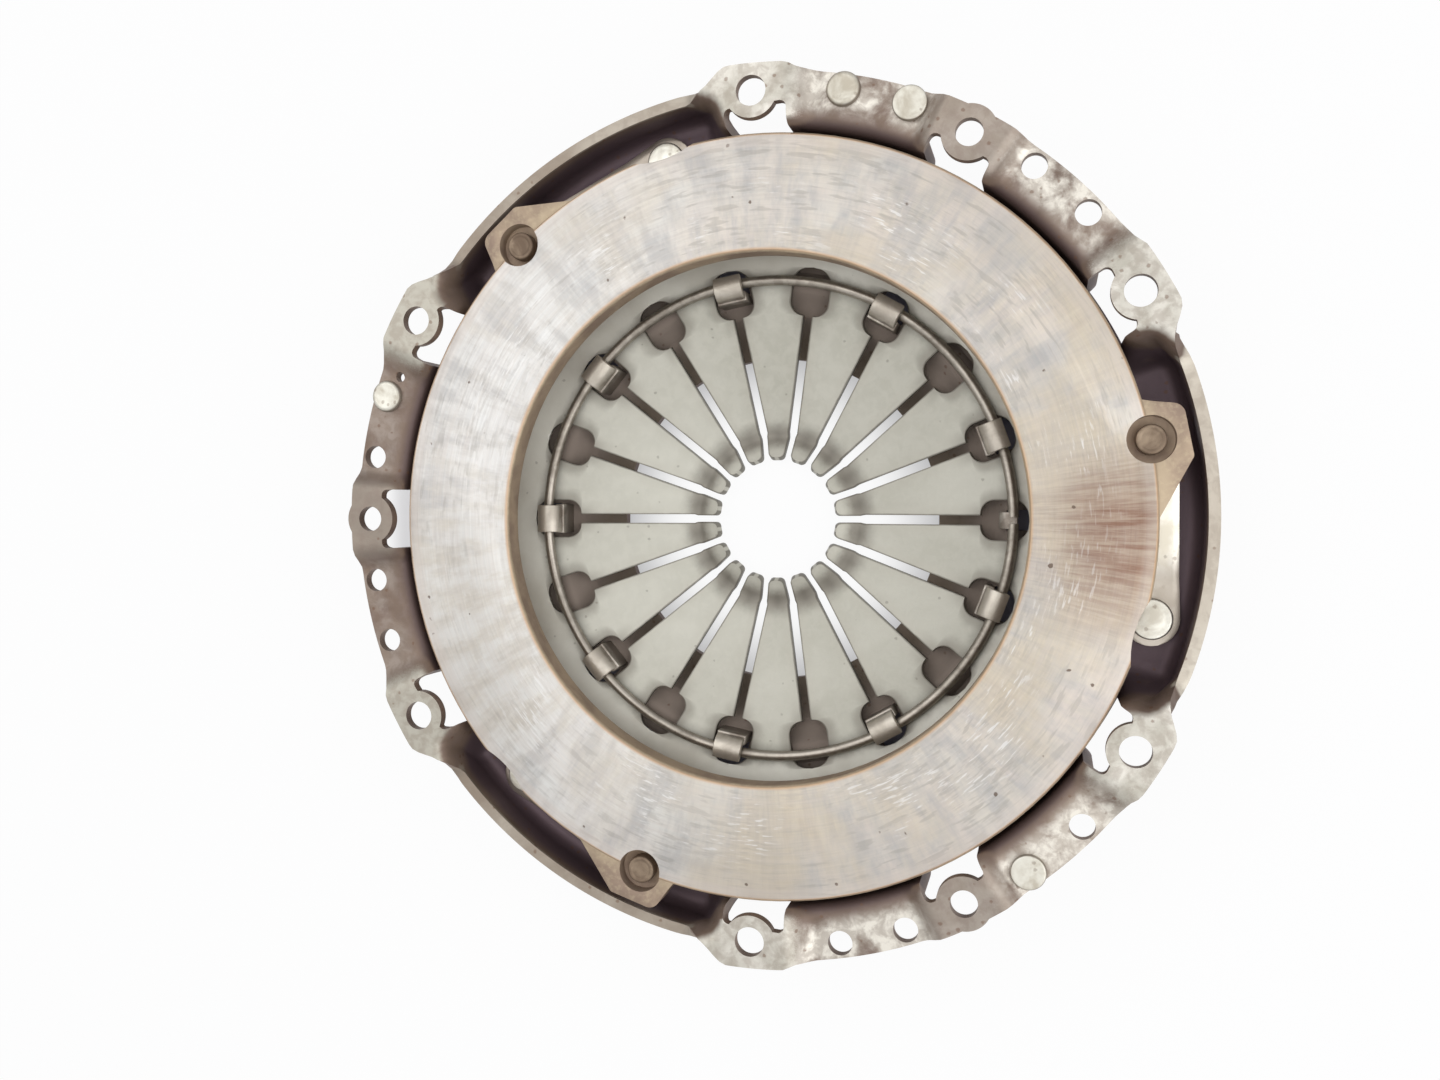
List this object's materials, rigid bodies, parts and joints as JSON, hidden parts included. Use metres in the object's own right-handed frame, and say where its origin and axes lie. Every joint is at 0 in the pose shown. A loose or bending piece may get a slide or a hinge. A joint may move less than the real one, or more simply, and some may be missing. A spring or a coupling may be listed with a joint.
{
  "type": "clutch pressure plate",
  "caption": "Pressed-steel clutch cover that carries a ring-shaped friction plate on tangential drive straps, clamped by a slotted diaphragm spring hooked over a fulcrum wire.",
  "frame": {"origin": "centre of the six-bolt circle, on the flange face that meets the flywheel", "axes": "+Z along the clutch axis, towards the flywheel; +X through the drive strap station between two flange sectors"},
  "size_m": [0.2674, 0.27, 0.0422],
  "materials": {
    "cover_steel": "pressed sheet steel, dark oiled surface, worn bright on the pads and edges",
    "spring_steel": "shot-peened spring steel, dull grey",
    "wire_steel": "drawn steel wire, dull",
    "plate_iron": "grey iron, ground friction face with circular scratches, rough cast lugs and back",
    "strap_steel": "blued spring-steel leaves",
    "rivet_steel": "plain steel rivets",
    "balance_steel": "plain steel balance rivets"
  },
  "bodies": {
    "cover": {"clutch_cover": "cover_steel", "diaphragm_spring": "spring_steel", "fulcrum_ring": "wire_steel", "strap_a_leaf_1": "strap_steel", "strap_a_leaf_2": "strap_steel", "strap_a_leaf_3": "strap_steel", "strap_b_leaf_1": "strap_steel", "strap_b_leaf_2": "strap_steel", "strap_b_leaf_3": "strap_steel", "strap_c_leaf_1": "strap_steel", "strap_c_leaf_2": "strap_steel", "strap_c_leaf_3": "strap_steel", "strap_a_cover_rivet": "rivet_steel", "strap_b_cover_rivet": "rivet_steel", "strap_c_cover_rivet": "rivet_steel", "balance_rivets": "balance_steel"},
    "plate": {"pressure_plate": "plate_iron", "strap_a_lug_rivet": "rivet_steel", "strap_b_lug_rivet": "rivet_steel", "strap_c_lug_rivet": "rivet_steel"}
  },
  "joints": [
    {"name": "plate_lift", "type": "slide", "parent": "cover", "child": "plate", "axis": [0, 0, 1], "range_m": [-0.005, 0], "stiffness_N_per_m": 20000, "springref_m": 0.005, "deforming": ["diaphragm_spring", "strap_a_leaf_1", "strap_a_leaf_2", "strap_a_leaf_3", "strap_b_leaf_1", "strap_b_leaf_2", "strap_b_leaf_3", "strap_c_leaf_1", "strap_c_leaf_2", "strap_c_leaf_3"]}
  ]
}
